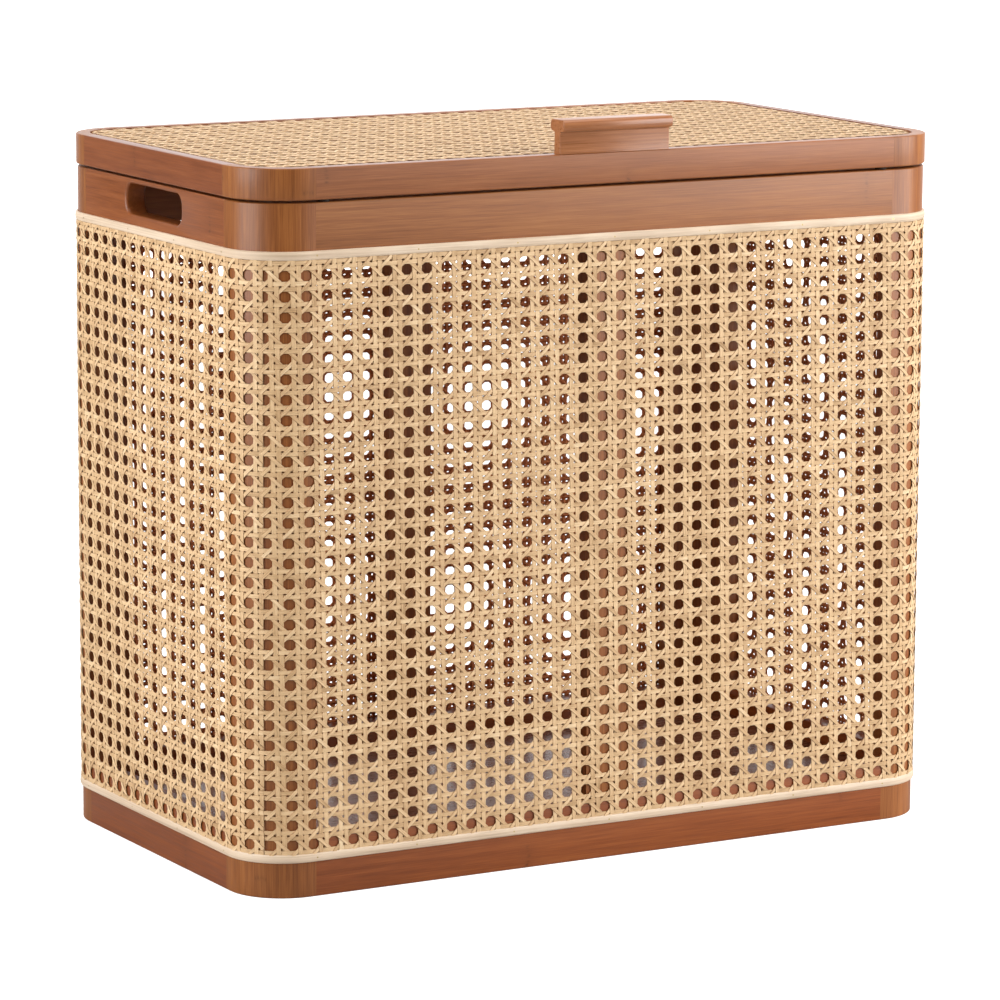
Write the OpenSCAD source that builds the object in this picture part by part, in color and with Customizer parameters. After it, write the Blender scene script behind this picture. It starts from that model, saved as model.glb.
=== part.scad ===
// Laundry hamper with a hinged lid: bamboo frame, woven cane walls, T-shaped pull.
// Millimetres. Origin on the floor under the middle of the body, +Z up, front towards -Y.

/* [Body] */
// Width across the faces of the body frame
body_w = 558; // [440:1:680]
// Depth across the faces of the body frame
body_d = 312; // [260:1:420]
// Height of the body without the lid
body_h = 479; // [380:1:600]
// Outer radius of the upright corners
corner_r = 41; // [34:1:60]
// Straight length of each corner piece past its curve
corner_straight = 5; // [0:1:20]
// Thickness of rails and corner posts
frame_t = 16; // [12:1:20]
// Height of the bottom rails
bottom_rail_h = 43; // [36:1:60]
// Height of the top rails
top_rail_h = 45.5; // [40:0.5:60]
// Width of the middle posts
mid_post_w = 36; // [24:1:60]
// Depth of the middle posts
mid_post_d = 18; // [12:1:24]

/* [Floor board] */
// Thickness of the floor board
floor_t = 5; // [3:0.5:8]
// Height of the underside of the floor board
floor_z = 22; // [12:1:26]
// Depth of the groove that holds the floor board
floor_groove = 5; // [3:0.5:8]

/* [Cane walls] */
// Thickness of the woven cane sheet
cane_t = 1.5; // [1:0.1:2.5]
// Height of the lower bead's underside
low_bead_z = 25; // [18:0.5:28]
// Height of the upper bead's underside above the underside of the top rails
high_bead_rise = 7; // [2:0.5:12]
// Height of both beads
bead_h = 6; // [5:0.5:7]
// How far both beads stand out from the frame
bead_t = 2; // [1.5:0.1:3]
// Radius of the brads in the beads
brad_r = 0.6; // [0.4:0.1:0.9]
// Greatest distance between brads
brad_step = 80; // [50:5:120]

/* [Hand slots] */
// Length of each hand slot
slot_l = 88; // [70:1:110]
// Height of each hand slot
slot_h = 21.6; // [16:0.1:24]
// Corner radius of each hand slot, as a share of its height
slot_round = 0.4; // [0.1:0.05:0.45]
// Depth of the slot's middle below the top of the body
slot_drop = 14.5; // [13:0.5:18]

/* [Lid] */
// Height of the lid frame
lid_h = 21.8; // [18:0.2:30]
// Thickness of the lid frame
lid_rim_t = 10; // [9:0.5:16]
// Gap between the body and the closed lid
lid_gap = 1.7; // [1.2:0.1:3]
// How far the lid stands out past the body frame all round
lid_over = 1; // [0:0.1:2]
// Thickness of the board in the lid
lid_board_t = 5; // [3:0.5:8]
// Depth of the groove that holds the lid board
lid_groove = 3; // [2:0.5:5]
// Depth of the lid's cane below the rim
lid_cane_drop = 0.3; // [0.2:0.1:2]
// Gap between the lid's cane and the rim
lid_cane_gap = 0.5; // [0.2:0.1:2]

/* [Pull] */
// Length of the pull
pull_l = 88; // [60:1:140]
// Height of the pull above the lid
pull_h = 24; // [18:0.5:40]
// Thickness of the pull's upright board
pull_t = 8.5; // [6:0.5:14]
// Height of the pull's head
pull_head_h = 8.5; // [5:0.5:12]
// How far the pull's head stands out on both sides
pull_lip = 5.25; // [4.8:0.05:9]

/* [Hinges] */
// Length of each hinge
hinge_l = 50; // [36:1:76]
// Distance of each hinge's middle from the middle of the body
hinge_x = 160; // [90:1:180]
// Thickness of the hinge leaves
leaf_t = 1.2; // [1:0.1:1.5]
// Wood left between the hinge leaves and the inside of the lid frame
leaf_margin = 2.5; // [1:0.5:3]
// Clear gap between the closed leaves
leaf_gap = 0.4; // [0.2:0.1:0.8]
// Outer radius of the hinge knuckles
knuckle_r = 2.5; // [2.2:0.1:3]
// Radius of the hinge pins
pin_r = 1.2; // [0.8:0.1:1.4]
// Running clearance round the hinge pins
pin_clear = 0.05; // [0.02:0.01:0.1]
// Clear gap between neighbouring knuckles
knuckle_gap = 0.3; // [0.2:0.1:0.8]

/* [Fasteners] */
// Shank radius of the hinge screws
screw_r = 1.3; // [1:0.1:1.6]
// Head radius of the hinge screws
screw_head_r = 2.6; // [2:0.1:3.2]
// Length of the hinge screws
screw_l = 11; // [8:0.5:14]
// Shank radius of the pull's screws
pull_screw_r = 1.8; // [1.4:0.1:2.4]
// Head radius of the pull's screws
pull_screw_head_r = 3.6; // [3:0.1:4.5]
// How far the pull's screws reach into the pull
pull_screw_bite = 14; // [8:1:16]
// Radius of the bumpers under the lid
bumper_r = 4; // [2:0.5:4.5]
// Clear gap under the closed lid's bumpers
bumper_clear = 0.1; // [0.05:0.05:0.3]

/* [Hidden] */
$fn = 48;

bamboo_rail = [0.66, 0.45, 0.31];
bamboo_post = [0.60, 0.38, 0.25];
bamboo_board = [0.55, 0.36, 0.24];
cane_colour = [0.86, 0.73, 0.57];
bead_colour = [0.86, 0.76, 0.65];
steel_colour = [0.55, 0.53, 0.50];
brass_colour = [0.72, 0.58, 0.33];
rubber_colour = [0.20, 0.18, 0.17];

CUT = 100;
corner_leg = corner_r + corner_straight;
rail_len_x = body_w - 2 * corner_leg;
rail_len_y = body_d - 2 * corner_leg;
high_bead_z = body_h - top_rail_h + high_bead_rise;
slot_r = slot_h * slot_round;
cane_z0 = low_bead_z + bead_h;
cane_z1 = high_bead_z;
lid_w = body_w + 2 * lid_over;
lid_d = body_d + 2 * lid_over;
lid_r = corner_r + lid_over;
lid_leg = corner_leg + lid_over;
lid_z0 = body_h + lid_gap;
lid_z1 = lid_z0 + lid_h;
lid_cane_z1 = lid_z1 - lid_cane_drop;
lid_cane_z0 = lid_cane_z1 - cane_t;
lid_board_z0 = lid_cane_z0 - lid_board_t;
lid_front_y = -lid_d / 2;
knuckle_len = (hinge_l - 2 * knuckle_gap) / 3;
knuckle_root = 1;
pin_y = lid_d / 2 + pull_lip - knuckle_r;
pin_z = body_h + lid_gap / 2;
leaf_in_y = lid_d / 2 - lid_rim_t + leaf_margin;
leaf_body_z1 = pin_z - leaf_gap / 2;
leaf_lid_z0 = pin_z + leaf_gap / 2;
screw_y = (leaf_in_y + body_d / 2) / 2;
screw_step = hinge_l * 0.34;
screw_head_h = 1.1;
pull_screw_head_h = 2.2;
pull_base = lid_z1;
pull_screw_dx = pull_l * 0.3;
pull_y = lid_front_y + pull_t / 2;
pull_screw_top = pull_base + pull_screw_bite;

// One flat rounded rectangle, centred on the origin
module rounded(w, d, r) {
  square([w - 2 * r, d], center = true);
  square([w, d - 2 * r], center = true);
  for (sx = [-1, 1], sy = [-1, 1])
    translate([sx * (w / 2 - r), sy * (d / 2 - r)])
      circle(r);
}

module slab(w, d, r, z0, z1) {
  translate([0, 0, z0])
    linear_extrude(z1 - z0)
      rounded(w, d, r);
}

// A ring of wall thickness t measured inwards from the outline
module ring(w, d, r, t, z0, z1) {
  difference() {
    slab(w, d, r, z0, z1);
    slab(w - 2 * t, d - 2 * t, r - t, z0 - 1, z1 + 1);
  }
}

// The quarter of a ring that makes one corner piece
module corner_of_ring(w, d, r, t, z0, z1, leg, sx, sy) {
  intersection() {
    ring(w, d, r, t, z0, z1);
    translate([sx * (w / 2 - leg + CUT), sy * (d / 2 - leg + CUT), (z0 + z1) / 2])
      cube([2 * CUT, 2 * CUT, z1 - z0 + 2], center = true);
  }
}

module floor_shape() {
  slab(body_w - 2 * (frame_t - floor_groove), body_d - 2 * (frame_t - floor_groove),
       corner_r - (frame_t - floor_groove), floor_z, floor_z + floor_t);
}

module lid_board_shape() {
  slab(lid_w - 2 * (lid_rim_t - lid_groove), lid_d - 2 * (lid_rim_t - lid_groove),
       lid_r - (lid_rim_t - lid_groove), lid_board_z0, lid_cane_z0);
}

// ---- body frame ----
module corner_post(sx, sy) {
  color(bamboo_post)
    difference() {
      corner_of_ring(body_w, body_d, corner_r, frame_t, 0, body_h, corner_leg, sx, sy);
      floor_shape();
    }
}

module rail_x(sy, z0, z1) {
  translate([-rail_len_x / 2, sy > 0 ? body_d / 2 - frame_t : -body_d / 2, z0])
    cube([rail_len_x, frame_t, z1 - z0]);
}

module rail_y(sx, z0, z1) {
  translate([sx > 0 ? body_w / 2 - frame_t : -body_w / 2, -rail_len_y / 2, z0])
    cube([frame_t, rail_len_y, z1 - z0]);
}

module bottom_rail_x(sy) {
  color(bamboo_rail)
    difference() {
      rail_x(sy, 0, bottom_rail_h);
      floor_shape();
    }
}

module bottom_rail_y(sx) {
  color(bamboo_rail)
    difference() {
      rail_y(sx, 0, bottom_rail_h);
      floor_shape();
    }
}

module top_rail_front() {
  color(bamboo_rail)
    rail_x(-1, body_h - top_rail_h, body_h);
}

module top_rail_back() {
  color(bamboo_rail)
    difference() {
      rail_x(1, body_h - top_rail_h, body_h);
      for (side = [-1, 1]) {
        leaf_plate(side, leaf_body_z1 - leaf_t, leaf_body_z1);
        leaf_screws(side, -1);
      }
    }
}

module hand_slot() {
  inner_l = slot_l - 2 * slot_r;
  inner_h = slot_h - 2 * slot_r;
  cube([2 * frame_t, slot_l, inner_h], center = true);
  cube([2 * frame_t, inner_l, slot_h], center = true);
  for (sy = [-1, 1], sz = [-1, 1])
    translate([0, sy * inner_l / 2, sz * inner_h / 2])
      rotate([0, 90, 0])
        cylinder(r = slot_r, h = 2 * frame_t, center = true);
}

module top_rail_side(sx) {
  color(bamboo_rail)
    difference() {
      rail_y(sx, body_h - top_rail_h, body_h);
      translate([sx * (body_w - frame_t) / 2, 0, body_h - slot_drop])
        hand_slot();
    }
}

module mid_post(sy) {
  color(bamboo_post)
    translate([-mid_post_w / 2, sy > 0 ? body_d / 2 - mid_post_d : -body_d / 2, bottom_rail_h])
      cube([mid_post_w, mid_post_d, body_h - top_rail_h - bottom_rail_h]);
}

module floor_board() {
  color(bamboo_board)
    floor_shape();
}

// ---- cane wall, beads and brads ----
module cane_wrap() {
  color(cane_colour)
    ring(body_w + 2 * cane_t, body_d + 2 * cane_t, corner_r + cane_t, cane_t, cane_z0, cane_z1);
}

module brad_row(z) {
  nx = ceil(rail_len_x / brad_step);
  ny = ceil(rail_len_y / brad_step);
  for (sy = [-1, 1], i = [0:nx])
    translate([-rail_len_x / 2 + rail_len_x * i / nx, sy * (body_d / 2 + bead_t / 2), z])
      rotate([90, 0, 0])
        cylinder(r = brad_r, h = bead_t, center = true);
  for (sx = [-1, 1], i = [0:ny])
    translate([sx * (body_w / 2 + bead_t / 2), -rail_len_y / 2 + rail_len_y * i / ny, z])
      rotate([0, 90, 0])
        cylinder(r = brad_r, h = bead_t, center = true);
}

module bead(z0) {
  color(bead_colour)
    difference() {
      ring(body_w + 2 * bead_t, body_d + 2 * bead_t, corner_r + bead_t, bead_t, z0, z0 + bead_h);
      brad_row(z0 + bead_h / 2);
    }
}

module brads() {
  color(brass_colour) {
    brad_row(low_bead_z + bead_h / 2);
    brad_row(high_bead_z + bead_h / 2);
  }
}

// ---- hinges ----
module leaf_plate(side, z0, z1) {
  translate([side * hinge_x - hinge_l / 2, leaf_in_y, z0])
    cube([hinge_l, lid_d / 2 - leaf_in_y, z1 - z0]);
}

// Middle knuckle belongs to the lid, the two outer ones to the body
module knuckle(x0, len, bore_r, plate_z0) {
  difference() {
    union() {
      translate([x0, pin_y, pin_z])
        rotate([0, 90, 0])
          cylinder(r = knuckle_r, h = len);
      translate([x0, lid_d / 2 - knuckle_root, plate_z0])
        cube([len, pin_y - lid_d / 2 + knuckle_root, leaf_t]);
    }
    translate([x0 - 1, pin_y, pin_z])
      rotate([0, 90, 0])
        cylinder(r = bore_r, h = len + 2);
  }
}

module leaf_body(side) {
  x0 = side * hinge_x - hinge_l / 2;
  color(brass_colour)
    difference() {
      union() {
        leaf_plate(side, leaf_body_z1 - leaf_t, leaf_body_z1);
        knuckle(x0, knuckle_len, pin_r, leaf_body_z1 - leaf_t);
        knuckle(x0 + hinge_l - knuckle_len, knuckle_len, pin_r, leaf_body_z1 - leaf_t);
      }
      leaf_screws(side, -1);
    }
}

module leaf_lid(side) {
  x0 = side * hinge_x - knuckle_len / 2;
  color(brass_colour)
    difference() {
      union() {
        leaf_plate(side, leaf_lid_z0, leaf_lid_z0 + leaf_t);
        knuckle(x0, knuckle_len, pin_r + pin_clear, leaf_lid_z0);
      }
      leaf_screws(side, 1);
    }
}

module hinge_pin(side) {
  color(steel_colour)
    translate([side * hinge_x - hinge_l / 2, pin_y, pin_z])
      rotate([0, 90, 0])
        cylinder(r = pin_r, h = hinge_l);
}

// Three screws of one leaf: dir -1 goes down into the body, 1 goes up into the lid
module leaf_screws(side, dir) {
  face_z = pin_z + dir * leaf_gap / 2;
  for (i = [-1, 0, 1])
    translate([side * hinge_x + i * screw_step, screw_y, face_z])
      mirror([0, 0, dir < 0 ? 1 : 0])
        screw(screw_r, screw_head_r, screw_head_h, screw_l);
}

// A countersunk screw whose head lies at z 0 and whose shank runs towards +Z
module screw(r, head_r, head_h, len) {
  cylinder(r1 = head_r, r2 = r, h = head_h);
  cylinder(r = r, h = len);
}

module screws_body() {
  color(steel_colour)
    for (side = [-1, 1])
      leaf_screws(side, -1);
}

module screws_lid() {
  color(steel_colour)
    for (side = [-1, 1])
      leaf_screws(side, 1);
}

// ---- lid ----
module lid_corner(sx, sy) {
  color(bamboo_post)
    difference() {
      corner_of_ring(lid_w, lid_d, lid_r, lid_rim_t, lid_z0, lid_z1, lid_leg, sx, sy);
      lid_board_shape();
    }
}

module lid_rail_x(sy) {
  translate([-rail_len_x / 2, sy > 0 ? lid_d / 2 - lid_rim_t : -lid_d / 2, lid_z0])
    cube([rail_len_x, lid_rim_t, lid_h]);
}

module lid_rail_front() {
  color(bamboo_rail)
    difference() {
      lid_rail_x(-1);
      lid_board_shape();
      pull_screws();
    }
}

module lid_rail_back() {
  color(bamboo_rail)
    difference() {
      lid_rail_x(1);
      lid_board_shape();
      for (side = [-1, 1]) {
        leaf_plate(side, leaf_lid_z0, leaf_lid_z0 + leaf_t);
        leaf_screws(side, 1);
      }
    }
}

module lid_rail_side(sx) {
  color(bamboo_rail)
    difference() {
      translate([sx > 0 ? lid_w / 2 - lid_rim_t : -lid_w / 2, -rail_len_y / 2, lid_z0])
        cube([lid_rim_t, rail_len_y, lid_h]);
      lid_board_shape();
    }
}

module lid_board() {
  color(bamboo_board)
    difference() {
      lid_board_shape();
      pull_screws();
    }
}

module lid_cane() {
  inset = lid_rim_t + lid_cane_gap;
  color(cane_colour)
    difference() {
      slab(lid_w - 2 * inset, lid_d - 2 * inset, lid_r - inset, lid_cane_z0, lid_cane_z1);
      pull_screws();
    }
}

module lid_bumpers() {
  color(rubber_colour)
    for (sx = [-1, 1])
      translate([sx * (rail_len_x / 2 - 2 * bumper_r), (lid_rim_t - lid_d) / 2, body_h + bumper_clear])
        cylinder(r = bumper_r, h = lid_gap - bumper_clear);
}

// ---- pull ----
module pull_screws() {
  for (sx = [-1, 1])
    translate([sx * pull_screw_dx, pull_y, lid_z0])
      screw(pull_screw_r, pull_screw_head_r, pull_screw_head_h, pull_screw_top - lid_z0);
}

module pull_section() {
  nose_r = pull_head_h / 2;
  head_y = pull_h - nose_r;
  translate([-pull_t / 2, 0])
    square([pull_t, pull_h - nose_r]);
  translate([-(pull_t / 2 + pull_lip - nose_r), pull_h - pull_head_h])
    square([pull_t + 2 * (pull_lip - nose_r), pull_head_h]);
  for (s = [-1, 1])
    translate([s * (pull_t / 2 + pull_lip - nose_r), head_y])
      circle(nose_r);
}

module pull() {
  color(bamboo_rail)
    difference() {
      translate([-pull_l / 2, pull_y, pull_base])
        rotate([90, 0, 90])
          linear_extrude(pull_l)
            pull_section();
      pull_screws();
    }
}

module screws_pull() {
  color(steel_colour)
    pull_screws();
}

corner_post(-1, -1);  // corner_post_fl
corner_post(1, -1);  // corner_post_fr
corner_post(-1, 1);  // corner_post_bl
corner_post(1, 1);  // corner_post_br
bottom_rail_x(-1);  // bottom_rail_front
bottom_rail_x(1);  // bottom_rail_back
bottom_rail_y(-1);  // bottom_rail_left
bottom_rail_y(1);  // bottom_rail_right
top_rail_front();
top_rail_back();
top_rail_side(-1);  // top_rail_left
top_rail_side(1);  // top_rail_right
mid_post(-1);  // mid_post_front
mid_post(1);  // mid_post_back
floor_board();
cane_wrap();
bead(low_bead_z);  // bead_lower
bead(high_bead_z);  // bead_upper
brads();
leaf_body(-1);  // leaf_body_left
leaf_body(1);  // leaf_body_right
hinge_pin(-1);  // hinge_pin_left
hinge_pin(1);  // hinge_pin_right
screws_body();
lid_corner(-1, -1);  // lid_corner_fl
lid_corner(1, -1);  // lid_corner_fr
lid_corner(-1, 1);  // lid_corner_bl
lid_corner(1, 1);  // lid_corner_br
lid_rail_front();
lid_rail_back();
lid_rail_side(-1);  // lid_rail_left
lid_rail_side(1);  // lid_rail_right
lid_board();
lid_cane();
lid_bumpers();
pull();
screws_pull();
leaf_lid(-1);  // leaf_lid_left
leaf_lid(1);  // leaf_lid_right
screws_lid();
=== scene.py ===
"""Laundry hamper with a hinged lid: bamboo frame and woven cane walls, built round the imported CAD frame."""

import math

import bmesh
import bpy
import numpy as np
from mathutils import Matrix, Vector
from mathutils.geometry import tessellate_polygon


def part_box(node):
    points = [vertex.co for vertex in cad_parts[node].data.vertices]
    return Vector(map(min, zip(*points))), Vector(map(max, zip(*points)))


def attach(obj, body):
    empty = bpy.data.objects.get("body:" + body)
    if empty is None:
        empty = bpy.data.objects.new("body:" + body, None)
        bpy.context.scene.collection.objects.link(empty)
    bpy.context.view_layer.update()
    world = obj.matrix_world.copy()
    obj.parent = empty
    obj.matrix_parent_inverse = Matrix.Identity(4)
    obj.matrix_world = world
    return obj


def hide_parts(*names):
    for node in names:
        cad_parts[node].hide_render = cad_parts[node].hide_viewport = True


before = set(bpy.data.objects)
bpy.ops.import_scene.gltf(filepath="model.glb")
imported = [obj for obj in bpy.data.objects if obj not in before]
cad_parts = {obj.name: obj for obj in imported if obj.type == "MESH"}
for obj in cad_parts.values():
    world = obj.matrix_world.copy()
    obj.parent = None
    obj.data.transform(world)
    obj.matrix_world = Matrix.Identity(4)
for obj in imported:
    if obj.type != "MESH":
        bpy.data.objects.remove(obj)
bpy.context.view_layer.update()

MM = 0.001
SEED = 7
EDGE_STEPS = 4  # steps in a rounded edge
WIDE_STRIP, NARROW_STRIP = 21.5 * MM, 9 * MM  # the bamboo laminate's strips
NODE_EVERY = 620 * MM  # distance between the culm nodes of one strip
rng = np.random.default_rng(SEED)
# the corners of a rectangle, going round it: the signs of its axes, and the angle where the turn starts
TURNS = ((1, -1, -90), (1, 1, 0), (-1, 1, 90), (-1, -1, 180))
# the hamper's corners in plan, with the signs of x and y
CORNERS = (("fl", -1, -1), ("fr", 1, -1), ("bl", -1, 1), ("br", 1, 1))

# ---------------------------------------------------------------- sizes read from the frame


def low(node):
    """The least corner of a CAD node's box."""
    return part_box(node)[0]


def high(node):
    """The greatest corner of a CAD node's box."""
    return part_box(node)[1]


HALF_W = high("corner_post_fr").x
HALF_D = high("corner_post_br").y
BODY_H = high("corner_post_fl").z
FRAME_T = high("bottom_rail_left").x - low("bottom_rail_left").x
LID_T = high("lid_rail_left").x - low("lid_rail_left").x
LEG = HALF_W - high("bottom_rail_front").x
CORNER_STRAIGHT = 5 * MM
CORNER_R = LEG - CORNER_STRAIGHT
LID_HALF_W = high("lid_corner_fr").x
LID_HALF_D = high("lid_corner_br").y
LID_R = CORNER_R + LID_HALF_W - HALF_W
LID_Z0 = low("lid_rail_front").z
LID_Z1 = high("lid_rail_front").z
CANE_Z0 = low("cane_wrap").z
CANE_Z1 = high("cane_wrap").z
CANE_T = high("cane_wrap").x - HALF_W
BEAD_T = high("bead_upper").x - HALF_W
PULL_LOW, PULL_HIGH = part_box("pull")

# ---------------------------------------------------------------- mesh helpers


def add_to_scene(name, mesh, body, replaces):
    """Puts a mesh in the scene as a piece that rides on a CAD body."""
    piece = bpy.data.objects.new(name, mesh)
    bpy.context.scene.collection.objects.link(piece)
    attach(piece, body)
    if replaces:
        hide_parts(*replaces)
    return piece


def add_piece(name, verts, faces, body, material, replaces, attrs, sharp=35.0):
    """A smooth-shaded piece from points and faces, creased where it turns by more than sharp degrees."""
    mesh = bpy.data.meshes.new(name)
    mesh.from_pydata([tuple(v) for v in verts], [], faces)
    mesh.validate()
    mesh.polygons.foreach_set("use_smooth", [True] * len(mesh.polygons))
    mesh.set_sharp_from_angle(angle=math.radians(sharp))
    for key, values in attrs.items():
        layer = mesh.attributes.new(key, "FLOAT_VECTOR", "POINT")
        layer.data.foreach_set("vector", np.asarray(values, np.float32).ravel())
    mesh.materials.append(material)
    return add_to_scene(name, mesh, body, replaces)


def section(depth, z0, z1, r_low, r_high, r_inner=None):
    """Closed outline in (outward, up), outer face at 0, with its outer and inner edges rounded."""
    r_inner = r_inner or r_high
    points = []
    for centre_n, centre_z, r, start in (
        (-r_low, z0 + r_low, r_low, -90),
        (-r_high, z1 - r_high, r_high, 0),
        (-depth + r_inner, z1 - r_inner, r_inner, 90),
        (-depth + r_low, z0 + r_low, r_low, 180),
    ):
        for i in range(EDGE_STEPS + 1):
            a = math.radians(start + 90 * i / EDGE_STEPS)
            points.append((centre_n + r * math.cos(a), centre_z + r * math.sin(a)))
    return points


def rounded(half_a, half_b, r, steps):
    """Points (a, b) and outward normals round a rectangle with round corners."""
    ring = []
    for sa, sb, start in TURNS:
        for i in range(steps + 1):
            t = math.radians(start + 90 * i / steps)
            n = (math.cos(t), math.sin(t))
            ring.append((sa * (half_a - r) + r * n[0], sb * (half_b - r) + r * n[1], *n))
    return ring


def corner_path(half_w, half_d, r, leg, sx, sy, steps=14):
    """Plan points and outward normals round one corner, from the side face to the front or back face."""
    cx, cy = sx * (half_w - r), sy * (half_d - r)
    path = [((sx * half_w, sy * (half_d - leg)), (sx, 0.0), 0.0)]
    straight = leg - r
    for i in range(steps + 1):
        a = math.pi / 2 * i / steps
        n = (sx * math.cos(a), sy * math.sin(a))
        path.append(((cx + r * n[0], cy + r * n[1]), n, straight + r * a))
    path.append(((sx * (half_w - leg), sy * half_d), (0.0, sy), 2 * straight + r * math.pi / 2))
    return path


def sweep(path, outline, flip):
    """Vertices and faces of an outline carried along a plan path."""
    verts, faces = [], []
    count = len(outline)
    for (x, y), (nx, ny), _ in path:
        for n, z in outline:
            verts.append((x + nx * n, y + ny * n, z))
    for i in range(len(path) - 1):
        for k in range(count):
            a, b = i * count + k, i * count + (k + 1) % count
            faces.append((a, b, b + count, a + count))
    faces.append(tuple(reversed(range(count))))
    last = (len(path) - 1) * count
    faces.append(tuple(range(last, last + count)))
    if flip:
        faces = [tuple(reversed(f)) for f in faces]
    return verts, faces


GRAIN_STEP = (1.37, 0.41, 0.1)


def grain_at(along, across, out, seed):
    """Grain coordinates, moved on by the piece's seed so that no two pieces share a figure."""
    return along + seed * GRAIN_STEP[0], across + seed * GRAIN_STEP[1], seed * GRAIN_STEP[2] + out


def rail(name, body, material, axis, side, half, face, outline, seed, node):
    """A straight bar. axis 'x' runs along X on the side (sign) of Y, axis 'y' along Y on the side of X."""
    path = []
    for s in (-half, 0.0, half):
        if axis == "x":
            path.append(((s, side * face), (0.0, side), s))
        else:
            path.append(((side * face, s), (side, 0.0), s))
    flip = (axis == "x") == (side > 0)
    verts, faces = sweep(path, outline, not flip)
    run, out = (0, 1) if axis == "x" else (1, 0)
    grain = [grain_at(v[run], v[2], abs(v[out]), seed) for v in verts]
    return add_piece(name, verts, faces, body, material, [node], {"grain": grain})


def corner(name, body, half_w, half_d, r, leg, sx, sy, outline, seed, node):
    """A rounded corner upright: L-shaped in plan, with its grain upright."""
    path = corner_path(half_w, half_d, r, leg, sx, sy)
    verts, faces = sweep(path, outline, sx * sy > 0)
    grain = [grain_at(z, s, n, seed) for _, _, s in path for n, z in outline]
    return add_piece(name, verts, faces, body, POST_MAT, [node], {"grain": grain})


# ---------------------------------------------------------------- materials


class Nodes:
    """Short calls for building a node tree."""

    def __init__(self, name):
        self.material = bpy.data.materials.new(name)
        self.material.use_nodes = True
        self.tree = self.material.node_tree
        self.shader = self.tree.nodes["Principled BSDF"]

    def add(self, kind, **values):
        node = self.tree.nodes.new(kind)
        for key, value in values.items():
            setattr(node, key, value)
        return node

    def plug(self, node, socket, value):
        if isinstance(value, bpy.types.NodeSocket):
            self.tree.links.new(value, node.inputs[socket])
        else:
            node.inputs[socket].default_value = value

    def math(self, operation, a, b=0.0, c=0.0):
        node = self.add("ShaderNodeMath", operation=operation)
        for i, value in enumerate((a, b, c)):
            self.plug(node, i, value)
        return node.outputs[0]

    def attribute(self, name):
        return self.add("ShaderNodeAttribute", attribute_name=name).outputs["Vector"]

    def object_coords(self):
        return self.add("ShaderNodeTexCoord").outputs["Object"]

    def scaled(self, vector, scale):
        node = self.add("ShaderNodeVectorMath", operation="MULTIPLY")
        self.plug(node, 0, vector)
        self.plug(node, 1, scale)
        return node.outputs[0]

    def split(self, vector):
        node = self.add("ShaderNodeSeparateXYZ")
        self.plug(node, 0, vector)
        return node.outputs

    def join(self, x, y, z):
        node = self.add("ShaderNodeCombineXYZ")
        for i, value in enumerate((x, y, z)):
            self.plug(node, i, value)
        return node.outputs[0]

    def noise(self, vector, scale=1.0, detail=3.0, rough=0.5):
        node = self.add("ShaderNodeTexNoise")
        self.plug(node, "Vector", vector)
        self.plug(node, "Scale", scale)
        self.plug(node, "Detail", detail)
        self.plug(node, "Roughness", rough)
        return node.outputs["Fac"]

    def white(self, value):
        node = self.add("ShaderNodeTexWhiteNoise", noise_dimensions="1D")
        self.plug(node, "W", value)
        return node.outputs["Value"]

    def ramp(self, value, stops):
        node = self.add("ShaderNodeValToRGB")
        self.plug(node, 0, value)
        elements = node.color_ramp.elements
        while len(elements) < len(stops):
            elements.new(0.5)
        for element, (place, colour) in zip(elements, stops):
            element.position = place
            element.color = (*colour, 1.0)
        return node.outputs["Color"]

    def remap(self, value, a, b, c, d):
        node = self.add("ShaderNodeMapRange")
        for i, v in enumerate((value, a, b, c, d)):
            self.plug(node, i, v)
        return node.outputs[0]

    def mix(self, kind, factor, a, b):
        node = self.add("ShaderNodeMix", data_type="RGBA", blend_type=kind)
        self.plug(node, 0, factor)
        self.plug(node, 6, a)
        self.plug(node, 7, b)
        return node.outputs[2]

    def bump(self, height, strength, distance):
        node = self.add("ShaderNodeBump")
        self.plug(node, "Strength", strength)
        self.plug(node, "Distance", distance)
        self.plug(node, "Height", height)
        self.plug(self.shader, "Normal", node.outputs[0])

    def set(self, **values):
        for key, value in values.items():
            self.plug(self.shader, key.replace("_", " "), value)


def shade(colour, factor, warm=0.0):
    """A lighter or darker version of a colour, a little yellower when warm is positive."""
    return (colour[0] * factor, colour[1] * factor * (1 + warm * 0.5), colour[2] * factor * (1 + warm))


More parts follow.
